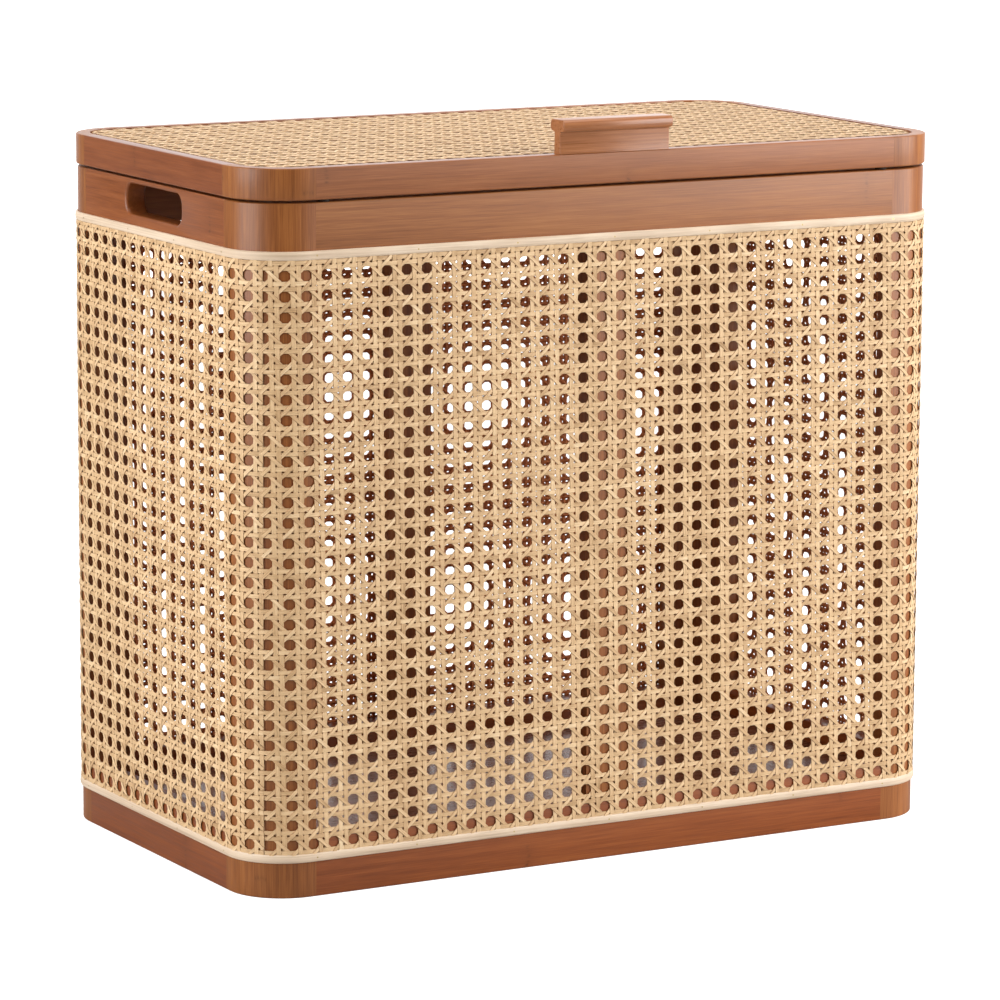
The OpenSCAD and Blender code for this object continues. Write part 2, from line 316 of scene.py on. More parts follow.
def bamboo(name, base, strip=WIDE_STRIP, rough=0.36, contrast=0.9, coat=0.15, painted_light_right=0.0):
    """Lacquered bamboo laminate. Its grain follows the "grain" attribute; its colour is made lighter towards
    +X, painted light for the brighter light on the right.
    """
    m = Nodes(name)
    grain = m.attribute("grain")
    along, across, out = m.split(grain)
    strip_id = m.math("FLOOR", m.math("DIVIDE", across, strip))
    tone = m.white(strip_id)
    streak = m.noise(m.scaled(grain, (11.0, 420.0, 420.0)), detail=5.0, rough=0.66)
    fibre = m.noise(m.scaled(grain, (40.0, 1900.0, 1900.0)), detail=2.0)
    cloud = m.noise(m.scaled(grain, (7.0, 22.0, 22.0)), detail=3.0)
    value = m.math("MULTIPLY_ADD", m.math("SUBTRACT", streak, 0.5), 0.75 * contrast, 0.5)
    value = m.math("MULTIPLY_ADD", m.math("SUBTRACT", fibre, 0.5), 0.55 * contrast, value)
    value = m.math("MULTIPLY_ADD", m.math("SUBTRACT", tone, 0.5), 0.10 * contrast, value)
    value = m.math("MULTIPLY_ADD", m.math("SUBTRACT", cloud, 0.5), 0.35, value)
    stops = [(0.25, shade(base, 0.66, -0.15)), (0.5, base), (0.75, shade(base, 1.32, 0.25))]
    colour = m.ramp(value, stops)
    # culm nodes: a small patch of dark ticks across one strip, now and then
    place = m.math("MULTIPLY_ADD", m.white(m.math("ADD", strip_id, 31.7)), NODE_EVERY, along)
    turn = m.math("SUBTRACT", m.math("FRACT", m.math("DIVIDE", place, NODE_EVERY)), 0.5)
    cell = m.math("MULTIPLY", turn, NODE_EVERY)
    ragged = m.noise(m.scaled(grain, (0.0, 300.0, 300.0)))
    wobble = m.math("MULTIPLY", m.math("SUBTRACT", ragged, 0.5), 0.006)
    distance = m.math("ABSOLUTE", m.math("ADD", cell, wobble))
    ticks = m.remap(m.noise(m.scaled(grain, (120.0, 900.0, 900.0)), detail=2.0), 0.45, 0.7, 0.0, 1.0)
    line = m.math("MULTIPLY", m.remap(distance, 0.0, 0.0022, 1.0, 0.0), ticks)
    halo = m.remap(distance, 0.0, 0.011, 0.30, 0.0)
    colour = m.mix("MIX", halo, colour, (*shade(base, 0.72), 1.0))
    colour = m.mix("MIX", m.math("MULTIPLY", line, 0.7), colour, (*shade(base, 0.35), 1.0))
    # painted light: the colour gets lighter towards +X, standing in for the brighter light falling on the
    # right
    if painted_light_right:
        painted_light_gain = m.remap(m.split(m.object_coords())[0], -HALF_W, HALF_W, 1.0, 1.0 + painted_light_right)
        colour = m.scaled(colour, m.join(painted_light_gain, painted_light_gain, painted_light_gain))
    m.plug(m.shader, "Base Color", colour)
    m.plug(m.shader, "Roughness", m.remap(streak, 0.3, 0.7, rough - 0.05, rough + 0.06))
    m.set(Coat_Weight=coat, Coat_Roughness=0.2, Specular_IOR_Level=0.35)
    height = m.math("MULTIPLY_ADD", fibre, 0.6, streak)
    m.bump(height, 0.22, 0.00014)
    return m.material


def cane(name):
    """Peeled cane. "strand" holds along, across (-1 to 1) and a random number; "side" is 0 on the back."""
    m = Nodes(name)
    along, across, seed = m.split(m.attribute("strand"))
    face = m.split(m.attribute("side"))[0]
    streak_at = m.scaled(m.join(along, across, seed), (20.0, 3.5, 97.0))
    streak = m.noise(streak_at, detail=3.0, rough=0.6)
    patch_at = m.scaled(m.join(along, seed, 0.0), (26.0, 61.0, 0.0))
    patch = m.noise(patch_at, detail=3.0)
    value = m.math("MULTIPLY_ADD", streak, 0.55, m.math("MULTIPLY", patch, 0.45))
    value = m.math("MULTIPLY_ADD", m.math("SUBTRACT", seed, 0.5), 0.18, value)
    skin = m.ramp(value, [(0.25, CANE_DARK), (0.42, CANE_MID), (0.60, CANE_PALE), (0.80, CANE_CREAM)])
    # painted shade: each strand darkens towards its edges, where it meets its neighbours
    edge = m.remap(m.math("ABSOLUTE", across), 0.74, 1.0, 0.0, 0.42)
    skin = m.mix("MIX", edge, skin, (*CANE_EDGE_SHADE, 1.0))
    # painted shade: the strands' back faces are darker and redder than the skin, standing in for the shade
    # and reddish bounce light inside the hamper
    colour = m.mix("MIX", face, (*CANE_BACK_SHADE, 1.0), skin)
    m.plug(m.shader, "Base Color", colour)
    m.plug(m.shader, "Roughness", m.remap(streak, 0.3, 0.7, 0.48, 0.62))
    m.set(Specular_IOR_Level=0.3, Coat_Weight=0.04, Coat_Roughness=0.3)
    crown = m.math("SUBTRACT", 1.0, m.math("MULTIPLY", across, across))
    m.bump(m.math("MULTIPLY_ADD", crown, 0.9, streak), 0.5, 0.00013)
    return m.material


def reed(name):
    """The pale split-reed bead."""
    m = Nodes(name)
    grain = m.attribute("grain")
    fibre = m.noise(m.scaled(grain, (7.0, 700.0, 700.0)), detail=3.0)
    cloud = m.noise(m.scaled(grain, (9.0, 30.0, 30.0)), detail=2.0)
    value = m.math("MULTIPLY_ADD", fibre, 0.6, m.math("MULTIPLY", cloud, 0.4))
    stops = [(0.3, (0.50, 0.36, 0.24)), (0.5, (0.68, 0.52, 0.37)), (0.7, (0.79, 0.65, 0.50))]
    colour = m.ramp(value, stops)
    m.plug(m.shader, "Base Color", colour)
    m.plug(m.shader, "Roughness", m.remap(fibre, 0.3, 0.7, 0.45, 0.6))
    m.bump(fibre, 0.3, 0.00015)
    return m.material


def metal(name, base, rough):
    """Brushed and slightly stained metal."""
    m = Nodes(name)
    at = m.object_coords()
    brushed = m.noise(m.scaled(at, (60.0, 2600.0, 2600.0)), detail=2.0)
    blotch = m.noise(m.scaled(at, (70.0, 70.0, 70.0)), detail=3.0)
    colour = m.mix("MULTIPLY", m.math("MULTIPLY", blotch, 0.5), (*base, 1.0), (0.55, 0.5, 0.45, 1.0))
    m.plug(m.shader, "Base Color", colour)
    m.set(Metallic=1.0)
    m.plug(m.shader, "Roughness", m.remap(brushed, 0.3, 0.7, rough - 0.06, rough + 0.1))
    m.bump(brushed, 0.15, 0.00005)
    return m.material


def rubber(name):
    """Dark, dull rubber."""
    m = Nodes(name)
    speck = m.noise(m.object_coords(), scale=1500.0, detail=2.0)
    colour = m.ramp(speck, [(0.3, (0.012, 0.008, 0.006)), (0.7, (0.03, 0.02, 0.015))])
    m.plug(m.shader, "Base Color", colour)
    m.set(Specular_IOR_Level=0.15)
    m.plug(m.shader, "Roughness", m.remap(speck, 0.3, 0.7, 0.65, 0.85))
    m.bump(speck, 0.3, 0.0001)
    return m.material


CANE_DARK = (0.36, 0.205, 0.09)
CANE_MID = (0.60, 0.385, 0.20)
CANE_PALE = (0.76, 0.525, 0.295)
CANE_CREAM = (0.88, 0.70, 0.46)
# painted shade colour for the strands' edges
CANE_EDGE_SHADE = (0.26, 0.125, 0.045)
# painted shade colour for the strands' back faces
CANE_BACK_SHADE = (0.60, 0.195, 0.065)
RAIL_MAT = bamboo("bamboo_rail", (0.250, 0.083, 0.019), coat=0.08, painted_light_right=0.28)
# painted shade: the end rails of body and lid get darker, more saturated copies of the rail colour, standing
# in for the shade on the hamper's ends
END_SHADED_MAT = bamboo("bamboo_rail_end_shaded", (0.240, 0.068, 0.017), contrast=1.0, coat=0.05)
LID_END_SHADED_MAT = bamboo("bamboo_lid_end_shaded", (0.205, 0.054, 0.013), contrast=1.0, coat=0.05)
LOW_MAT = bamboo("bamboo_rail_low", (0.210, 0.050, 0.008), coat=0.12, painted_light_right=0.36)
POST_MAT = bamboo("bamboo_upright", (0.248, 0.078, 0.016), NARROW_STRIP, 0.44, 1.25, coat=0.1, painted_light_right=0.2)
LID_MAT = bamboo("bamboo_lid", (0.232, 0.073, 0.019), coat=0.08, painted_light_right=0.34)
PULL_MAT = bamboo("bamboo_pull", (0.36, 0.135, 0.050), rough=0.30, coat=0.1)
BOARD_MAT = bamboo("bamboo_board", (0.30, 0.125, 0.065), 20 * MM, 0.20, 1.0)
CANE_MAT = cane("cane_strand")
BEAD_MAT = reed("reed_bead")
BRASS_MAT = metal("hinge_brass", (0.58, 0.42, 0.19), 0.32)
STEEL_MAT = metal("screw_steel", (0.52, 0.50, 0.47), 0.35)
RUBBER_MAT = rubber("bumper_rubber")

# ---------------------------------------------------------------- frame of the body

RAIL_X = HALF_W - LEG
RAIL_Y = HALF_D - LEG
BOTTOM_TOP = high("bottom_rail_front").z
TOP_LOW = low("top_rail_front").z
EDGE = 1.1 * MM
LID_EDGE_OUTER, LID_EDGE_INNER = 1.0 * MM, 0.3 * MM
SLOT_HALF_L, SLOT_HALF_H = 44 * MM, 10.8 * MM
SLOT_R = 0.8 * SLOT_HALF_H
SLOT_Z = BODY_H - 14.5 * MM
SLOT_EDGE = 2.4 * MM
CREASE = 0.5  # an edge sharper than this many radians is eased

bottom_outline = section(FRAME_T, 0.0, BOTTOM_TOP, EDGE, EDGE)
top_outline = section(FRAME_T, TOP_LOW, BODY_H, EDGE, EDGE)
post_outline = section(FRAME_T, 0.0, BODY_H, EDGE, EDGE)
lid_outline = section(LID_T, LID_Z0, LID_Z1, EDGE, LID_EDGE_OUTER, r_inner=LID_EDGE_INNER)

SIDES = {"front": ("x", -1), "back": ("x", 1), "left": ("y", -1), "right": ("y", 1)}


def ease(bm, edges, offset):
    """Rounds the sharp ones among some edges."""
    sharp = [e for e in edges if e.calc_face_angle(0) > CREASE]
    bmesh.ops.bevel(bm, geom=sharp, offset=offset, segments=EDGE_STEPS, profile=0.5, affect="EDGES")


def slotted_rail(name, side, node, seed):
    """A top end rail with its hand slot, its long edges and the slot's rims eased."""
    bm = bmesh.new()
    plain = ((-RAIL_Y, TOP_LOW), (RAIL_Y, TOP_LOW), (RAIL_Y, BODY_H), (-RAIL_Y, BODY_H))
    edges = []
    slot = [(y, SLOT_Z + z) for y, z, _, _ in rounded(SLOT_HALF_L, SLOT_HALF_H, SLOT_R, 8)]
    for ring in (plain, slot):
        loop = [bm.verts.new((0.0, y, z)) for y, z in ring]
        for i, v in enumerate(loop):
            edges.append(bm.edges.new((v, loop[(i + 1) % len(loop)])))
    bmesh.ops.triangle_fill(bm, use_beauty=True, edges=edges)
    made = bmesh.ops.extrude_face_region(bm, geom=bm.faces[:])
    moved = [g for g in made["geom"] if isinstance(g, bmesh.types.BMVert)]
    bmesh.ops.translate(bm, verts=moved, vec=(FRAME_T, 0, 0))
    bmesh.ops.recalc_face_normals(bm, faces=bm.faces[:])

    def near_slot(v):
        return abs(v.co.y) < SLOT_HALF_L + MM and abs(v.co.z - SLOT_Z) < SLOT_HALF_H + MM

    def along(e):
        return abs(e.verts[0].co.y - e.verts[1].co.y) > RAIL_Y

    def across_x(e):
        return abs(e.verts[0].co.x - e.verts[1].co.x) > MM

    ease(bm, [e for e in bm.edges if all(near_slot(v) for v in e.verts) and not across_x(e)], SLOT_EDGE)
    ease(bm, [e for e in bm.edges if along(e)], EDGE)
    mesh = bpy.data.meshes.new(name)
    bm.to_mesh(mesh)
    bm.free()
    x0 = -HALF_W if side < 0 else HALF_W - FRAME_T
    verts = [(v.co.x + x0, v.co.y, v.co.z) for v in mesh.vertices]
    faces = [tuple(p.vertices) for p in mesh.polygons]
    bpy.data.meshes.remove(mesh)
    grain = [grain_at(v[1], v[2], abs(v[0]), seed) for v in verts]
    return add_piece(name, verts, faces, "body", END_SHADED_MAT, [node], {"grain": grain}, 28)


# first seed of each set of pieces
LOW_SEED, HIGH_SEED, POST_SEED, LID_SEED, BLOCK_SEED = 3, 11, 21, 31, 41


def build_body_frame():
    """Bottom and top rails, corner posts and the two middle posts."""
    for i, (side, (axis, sign)) in enumerate(SIDES.items()):
        half = RAIL_X if axis == "x" else RAIL_Y
        face = HALF_D if axis == "x" else HALF_W
        at = (axis, sign, half, face)
        rail(f"rail_low_{side}", "body", LOW_MAT, *at, bottom_outline, LOW_SEED + i, f"bottom_rail_{side}")
        name, node = f"rail_high_{side}", f"top_rail_{side}"
        if axis == "x":
            rail(name, "body", RAIL_MAT, *at, top_outline, HIGH_SEED + i, node)
        else:
            slotted_rail(name, sign, node, HIGH_SEED + i)
    for i, (tag, sx, sy) in enumerate(CORNERS):
        size = (HALF_W, HALF_D, CORNER_R, LEG, sx, sy)
        corner(f"post_{tag}", "body", *size, post_outline, POST_SEED + i, f"corner_post_{tag}")
    for i, (tag, sy) in enumerate((("front", -1), ("back", 1))):
        node = f"mid_post_{tag}"
        a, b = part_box(node)
        outline = section(b.y - a.y, a.z, b.z, EDGE, EDGE)
        path = [((x, sy * HALF_D), (0.0, sy), x) for x in (a.x, b.x)]
        verts, faces = sweep(path, outline, sy < 0)
        grain = [(v[2] + i, v[0] + 0.3 * i, abs(v[1])) for v in verts]
        attrs = {"grain": grain}
        add_piece(f"middle_{tag}", verts, faces, "body", POST_MAT, [node], attrs)


def build_lid_frame():
    """The lid's four rails and its rounded corner blocks."""
    for i, (side, (axis, sign)) in enumerate(SIDES.items()):
        half = RAIL_X if axis == "x" else RAIL_Y
        face = LID_HALF_D if axis == "x" else LID_HALF_W
        material = LID_MAT if axis == "x" else LID_END_SHADED_MAT
        at = (axis, sign, half, face)
        rail(f"lid_edge_{side}", "lid", material, *at, lid_outline, LID_SEED + i, f"lid_rail_{side}")
    leg = LEG + LID_HALF_W - HALF_W
    for i, (tag, sx, sy) in enumerate(CORNERS):
        size = (LID_HALF_W, LID_HALF_D, LID_R, leg, sx, sy)
        corner(f"lid_block_{tag}", "lid", *size, lid_outline, BLOCK_SEED + i, f"lid_corner_{tag}")


# ---------------------------------------------------------------- woven cane

COLUMNS = 110  # columns of holes round the body
PITCH_V = 14.02 * MM  # from one row of holes to the next
LAST_ROW_Z = 37.5 * MM  # the lowest row
HALF_PAIR_V = 3.78 * MM  # one upright strand and its share of the seam
HALF_PAIR_H = 3.42 * MM  # the same for a level one
SEAM = 0.14 * MM  # gap between the two strands of a pair
OPENING = 1.0 * MM  # what the seam widens by on each side of the diagonals' crossing
CROSS_OPENING = 0.55 * MM  # and where two pairs cross
OPENING_AT = 0.2  # how far from the hole's middle that is, in pitches
OPENING_REACH = 0.1
END_GAP = 0.05  # samples stay this share of a step clear of a strand's ends
WIDTH_D = 2.5 * MM  # a diagonal's width
STRAND_T = 0.50 * MM
WAVE = 0.26 * MM  # how far the strands of a pair rise and fall
JITTER = 0.09 * MM  # how far a strand wanders from its line
STEPS = 10  # samples of a strand in one pitch
TUCK = 0.8 * MM  # what the webbing reaches past its CAD sheet, under the beads
LID_CANE_MARGIN = 0.3 * MM  # what the lid's strands keep clear of its rim
LID_CANE_LIFT = 0.35 * MM  # brings them nearly flush with the rim
TONE_STEP = 0.618  # the golden share, which spreads the strands' tones evenly
# strand outline in (across, out), as shares of its width and thickness, seen from outside
OUTLINE = np.array([(-0.5, 0.0), (-0.42, 0.5), (0.42, 0.5), (0.5, 0.0)])


def strands(paths):
    """One mesh from many strands. A path holds rows of (u, v, height, width), and a seed."""
    verts, faces, marks = [], [], []
    start = 0
    count = len(OUTLINE)
    for rows, seed in paths:
        uv, h, width = rows[:, :2], rows[:, 2], rows[:, 3]
        step = np.gradient(uv, axis=0)
        step /= np.linalg.norm(step, axis=1)[:, None]
        side = np.stack([step[:, 1], -step[:, 0]], 1)
        length = np.concatenate([[0], np.cumsum(np.linalg.norm(np.diff(uv, axis=0), axis=1))])
        ring = np.empty((len(uv), count, 3))
        ring[:, :, :2] = uv[:, None, :] + side[:, None, :] * (OUTLINE[None, :, :1] * width[:, None, None])
        ring[:, :, 2] = h[:, None] + OUTLINE[None, :, 1] * STRAND_T
        verts.append(ring.reshape(-1, 3))
        mark = np.empty((len(uv), count, 3))
        mark[:, :, 0] = length[:, None] + seed
        mark[:, :, 1] = OUTLINE[None, :, 0] * 2
        mark[:, :, 2] = seed
        marks.append(mark.reshape(-1, 3))
        i = np.arange(len(uv) - 1)[:, None] * count + start
        k = np.arange(count)[None, :]
        nxt = (k + 1) % count
        quads = np.stack([i + k, i + nxt, i + nxt + count, i + k + count], -1).reshape(-1, 4)
        faces.append(quads)
        start += len(uv) * count
    return np.concatenate(verts), np.concatenate(faces), np.concatenate(marks)


def crisp_shoulders(mesh):
    """Marks the two long edges of every strand's outer face as sharp, so the face shades flat."""
    ends = np.empty(len(mesh.edges) * 2, np.int32)
    mesh.edges.foreach_get("vertices", ends)
    a, b = ends[0::2], ends[1::2]
    count = len(OUTLINE)
    sharp = (np.abs(a - b) == count) & ((a % count == 1) | (a % count == 2))
    layer = mesh.attributes.new("sharp_edge", "BOOLEAN", "EDGE")
    layer.data.foreach_set("value", sharp)


def strand_mesh(name, points, quads, marks, body, replaces):
    """A woven piece from the strands' points and quads, with its outer faces told from the others."""
    mesh = bpy.data.meshes.new(name)
    mesh.vertices.add(len(points))
    mesh.vertices.foreach_set("co", points.astype(np.float32).ravel())
    mesh.loops.add(quads.size)
    mesh.loops.foreach_set("vertex_index", quads.astype(np.int32).ravel())
    mesh.polygons.add(len(quads))
    mesh.polygons.foreach_set("loop_start", np.arange(0, quads.size, 4, dtype=np.int32))
    mesh.polygons.foreach_set("use_smooth", np.ones(len(quads), bool))
    face = mesh.attributes.new("side", "FLOAT_VECTOR", "FACE")
    outer = np.tile([1.0, 1.0, 1.0, 0.0], len(quads) // 4)
    face.data.foreach_set("vector", np.repeat(outer, 3).astype(np.float32))
    layer = mesh.attributes.new("strand", "FLOAT_VECTOR", "POINT")
    layer.data.foreach_set("vector", marks.astype(np.float32).ravel())
    mesh.update(calc_edges=True)
    mesh.validate()
    crisp_shoulders(mesh)
    mesh.materials.append(CANE_MAT)
    return add_to_scene(name, mesh, body, replaces)


def opening(t):
    """Width of the seam between the two strands of a pair, t pitches on from a hole's middle."""
    t = np.abs(t - np.round(t))
    beside = np.clip(1 - np.abs(t - OPENING_AT) / OPENING_REACH, 0, 1)
    crossing = np.clip(1 - (0.5 - t) / OPENING_REACH, 0, 1)
    return SEAM + OPENING * beside + CROSS_OPENING * crossing


def spaced(a, b, phase, step):
    """Samples at whole steps from the phase, with both ends added."""
    first = math.ceil((a - phase) / step + END_GAP)
    last = math.floor((b - phase) / step - END_GAP)
    return np.concatenate([[a], phase + step * np.arange(first, last + 1), [b]])


def slow(count, size):
    """A slowly wandering offset along a strand."""
    knots = rng.normal(0.0, size, count // 24 + 3)
    return np.interp(np.linspace(0, len(knots) - 1, count), np.arange(len(knots)), knots)


def upright_pairs(v, tu, tv, ends, phase, mid):
    """Pairs of upright strands, one pair between every two columns of holes."""
    paths = []
    for i in range(math.floor(tu[0] - 0.5), math.ceil(tu[-1] - 0.5) + 1):
        centre = phase + (i + 0.5) * PITCH_U
        if not ends[0] <= centre < ends[1]:
            continue
        for off in (-1, 1):
            gap = opening(tv)
            at = centre + off * (HALF_PAIR_V + gap / 2) / 2 + slow(len(v), JITTER)
            h = mid - off * WAVE * np.sin(2 * np.pi * (tv - 0.5))
            paths.append((np.stack([at, v, h, HALF_PAIR_V - gap / 2], 1), rng.random()))
    return paths


def level_pairs(u, tu, tv, ends, phase, mid):
    """Pairs of level strands, one pair between every two rows of holes."""
    paths = []
    for j in range(math.floor(tv[0] - 1), math.ceil(tv[-1]) + 1):
        for off in (-1, 1):
            gap = opening(tu)
            at = phase + (j + 0.5) * PITCH_V + off * (HALF_PAIR_H + gap / 2) / 2
            if not ends[0] + HALF_PAIR_H / 3 <= at.min() <= ends[1] - HALF_PAIR_H / 3:
                continue
            h = mid + off * WAVE * np.sin(2 * np.pi * (tu - 0.5))
            rows = [u, at + slow(len(u), JITTER), h, HALF_PAIR_H - gap / 2]
            paths.append((np.stack(rows, 1), (j * 2 + (off > 0)) * TONE_STEP % 1.0))
    return paths


def diagonals(v, tu, tv, phase, mid, dive):
    """Slanted strands both ways, through the middle of every stretch between two holes."""
    paths = []
    span = tv[-1] - tv[0]
    for way in (1, -1):
        for n in range(math.floor(tu[0] - span - 4), math.ceil(tu[-1] + span + 4)):
            at = n + 0.5 + way * tv
            keep = (at >= tu[0]) & (at <= tu[-1])
            if keep.sum() < 2:
                continue
            h = mid + way * dive * np.cos(2 * np.pi * at[keep])
            rows = [phase + PITCH_U * at[keep], v[keep], h, np.full(keep.sum(), WIDTH_D)]
            paths.append((np.stack(rows, 1), (n * TONE_STEP + 0.3 * way) % 1.0))
    return paths


def weave_paths(u0, u1, v0, v1, u_phase, v_phase, thick):
    """Strand paths of six-way webbing between u0..u1 and v0..v1, by family.

    Holes lie at whole pitches from the phases. Pairs run between the hole columns and between
    the hole rows, in plain weave. The diagonals cross over the middle of every pair between two holes: one
    way over the upright pairs and under the level ones, the other way the reverse.
    """
    mid, dive = thick / 2, (thick - STRAND_T) / 2
    u, v = spaced(u0, u1, u_phase, PITCH_U / STEPS), spaced(v0, v1, v_phase, PITCH_V / STEPS)
    tu, tv = (u - u_phase) / PITCH_U, (v - v_phase) / PITCH_V
    return {
        "upright": upright_pairs(v, tu, tv, (u0, u1), u_phase, mid),
        "level": level_pairs(u, tu, tv, (v0, v1), v_phase, mid),
        "slanted": diagonals(v, tu, tv, u_phase, mid, dive),
    }


CANE_HALF_W, CANE_HALF_D, CANE_R = HALF_W + CANE_T, HALF_D + CANE_T, CORNER_R + CANE_T
STRAIGHT_X = 2 * (CANE_HALF_W - CANE_R)
STRAIGHT_Y = 2 * (CANE_HALF_D - CANE_R)
ARC = math.pi / 2 * CANE_R
PERIMETER = 2 * (STRAIGHT_X + STRAIGHT_Y) + 4 * ARC
PITCH_U = PERIMETER / COLUMNS


def wrap_point(u, h):
    """Plan position for a distance u from the front's middle, going right, at a height h off the frame."""
    u = np.mod(u + STRAIGHT_X / 2, PERIMETER)
    x, y = np.empty_like(u), np.empty_like(u)
    out = h - CANE_T
    done = np.zeros(u.shape, bool)
    pos = 0.0
    hx, hy = CANE_HALF_W, CANE_HALF_D
    r = CANE_R
    runs = (
        (STRAIGHT_X, (-hx + r, -hy), (1, 0), (0, -1)),
        (STRAIGHT_Y, (hx, -hy + r), (0, 1), (1, 0)),
        (STRAIGHT_X, (hx - r, hy), (-1, 0), (0, 1)),
        (STRAIGHT_Y, (-hx, hy - r), (0, -1), (-1, 0)),
    )
    for length, (sx, sy), (dx, dy), (nx, ny) in runs:
        m = ~done & (u <= pos + length)
        d = u[m] - pos
        x[m] = sx + dx * d + nx * out[m]
        y[m] = sy + dy * d + ny * out[m]
        done |= m
        pos += length
        m = ~done & (u <= pos + ARC)
        a = (u[m] - pos) / r
        ex, ey = sx + dx * length - nx * r, sy + dy * length - ny * r
        rad = r + out[m]
        x[m] = ex + rad * (nx * np.cos(a) + dx * np.sin(a))
        y[m] = ey + rad * (ny * np.cos(a) + dy * np.sin(a))
        done |= m
        pos += ARC
    return x, y


# drift of the webbing in mm: at the middle, and what x, rise and both together add, each from -1 to 1
FRONT_SHIFT = (1.2, 3.2, -4.25, -1.3)
BACK_SHIFT = (6.5, 4.3, -1.9, 0.0)
BACK_LIFT = (1.3, -4.0, 1.3, 0.0)
HELD = 25 * MM  # next to the beads the rows stay level
FRONT_FADE = 1.2  # how fast the front's drift dies away round the corners, for each half width
BACK_FADE = 0.8 * STRAIGHT_Y  # the length in which the back's does


def drift(terms, x, rise):
    """A drift that changes evenly with x and rise."""
    middle, by_x, by_rise, by_both = terms
    return (middle + by_x * x + by_rise * rise + by_both * x * rise) * MM


def leaning(u, z):
    """Where the hand-stretched webbing really runs: a few millimetres off on the front and the back."""
    rise = (z - BODY_H / 2) / (BODY_H / 2)
    x = u / CANE_HALF_W
    front = np.clip(1 - (np.abs(x) - 1) * FRONT_FADE, 0, 1)
    around = u - PERIMETER / 2
    x_back = -around / CANE_HALF_W
    back = np.clip(1 - (np.abs(around) - STRAIGHT_X / 2) / BACK_FADE, 0, 1)
    held = np.clip((z - CANE_Z0) / HELD, 0, 1) * np.clip((CANE_Z1 - z) / HELD, 0, 1)
    shift = front * drift(FRONT_SHIFT, x, rise) + back * drift(BACK_SHIFT, x_back, rise)
    return u + shift, z + back * held * drift(BACK_LIFT, x_back, rise)


def build_walls():
    """The webbing round the body: four stretches that meet at the middles of the corners."""
    z0, z1 = CANE_Z0 - TUCK, CANE_Z1 + TUCK
    lengths = (STRAIGHT_X + ARC, STRAIGHT_Y + ARC, STRAIGHT_X + ARC, STRAIGHT_Y + ARC)
    start = -lengths[0] / 2
    for side, length in zip(("front", "right", "back", "left"), lengths):
        families = weave_paths(start, start + length, z0, z1, PITCH_U / 2, LAST_ROW_Z, CANE_T)
        for tag, paths in families.items():
            points, quads, marks = strands(paths)
            u, z = leaning(points[:, 0], points[:, 1])
            placed = np.stack([*wrap_point(u, points[:, 2]), z], 1)
            nodes = ["cane_wrap"] if (side, tag) == ("front", "upright") else []
            strand_mesh(f"cane_{side}_{tag}", placed, quads[:, ::-1], marks, "body", nodes)
        start += length


def trim(paths, half_x, half_y, r):
    """Cuts the strands off at a rectangle with round corners."""
    trimmed = []
    for rows, seed in paths:
        cx = np.maximum(np.abs(rows[:, 0]) - (half_x - r), 0)
        cy = np.maximum(np.abs(rows[:, 1]) - (half_y - r), 0)
        keep = np.hypot(cx, cy) <= r - rows[:, 3] / 2
        if keep.sum() >= 2:
            trimmed.append((rows[keep], seed))
    return trimmed


def build_lid_cane():
    """The webbing in the lid, flat, with round corners."""
    a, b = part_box("lid_cane")
    r = LID_R - (LID_HALF_W - b.x)
    half_x, half_y = b.x - LID_CANE_MARGIN, b.y - LID_CANE_MARGIN
    families = weave_paths(-half_x, half_x, -half_y, half_y, 0.0, 0.0, b.z - a.z)
    for tag, paths in families.items():
        points, quads, marks = strands(trim(paths, half_x, half_y, r))
        points[:, 2] += a.z + LID_CANE_LIFT
        nodes = ["lid_cane"] if tag == "upright" else []
        strand_mesh(f"lid_cane_{tag}", points, quads[:, ::-1], marks, "lid", nodes)


# ---------------------------------------------------------------- beads, boards, pull, metal

DOME_SHARE = 0.55  # the domed part of the bead's thickness
DOME_TURN = 80  # degrees of the dome's arc on each side of its middle


def bead_outline(z0, z1):
    """The bead's outline in (outward, up): flat behind, domed in front."""
    dome, half = DOME_SHARE * BEAD_T, (z1 - z0) / 2
    outline = [(-BEAD_T, z0), (-dome, z0)]
    for i in range(9):
        t = math.radians(-DOME_TURN + 2 * DOME_TURN * i / 8)
        z = z0 + half + half * math.sin(t) / math.sin(math.radians(DOME_TURN))
        outline.append((-dome + dome * math.cos(t), z))
    outline.append((-BEAD_T, z1))
    return outline


def build_bead(name, node):
    """A closed ring with a domed face."""
    a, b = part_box(node)
    outline = bead_outline(a.z, b.z)
    ring = rounded(HALF_W + BEAD_T, HALF_D + BEAD_T, CORNER_R + BEAD_T, 12)
    verts, faces, grain = [], [], []
    along = 0.0
    count = len(outline)
    for i, (x, y, nx, ny) in enumerate(ring):
        if i:
            along += math.hypot(x - ring[i - 1][0], y - ring[i - 1][1])
        for n, z in outline:
            verts.append((x + nx * n, y + ny * n, z))
            grain.append((along, z, n))
    for i in range(len(ring)):
        j = (i + 1) % len(ring)
        for k in range(count):
            m = (k + 1) % count
            faces.append((i * count + k, j * count + k, j * count + m, i * count + m))
    add_piece(name, verts, faces, "body", BEAD_MAT, [node], {"grain": grain}, 50)


def board(name, node, body, seed):
    """A flat board with round corners, from the CAD node's box."""
    a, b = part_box(node)
    ring = rounded(b.x, b.y, CORNER_R - (HALF_W - b.x), 8)
    verts = [(x, y, z) for z in (a.z, b.z) for x, y, _, _ in ring]
    count = len(ring)
    faces = [tuple(reversed(range(count))), tuple(range(count, 2 * count))]
    faces += [(i, (i + 1) % count, count + (i + 1) % count, count + i) for i in range(count)]
    grain = [(v[0] + seed, v[1] + seed * 0.7, v[2]) for v in verts]
    add_piece(name, verts, faces, body, BOARD_MAT, [node], {"grain": grain})


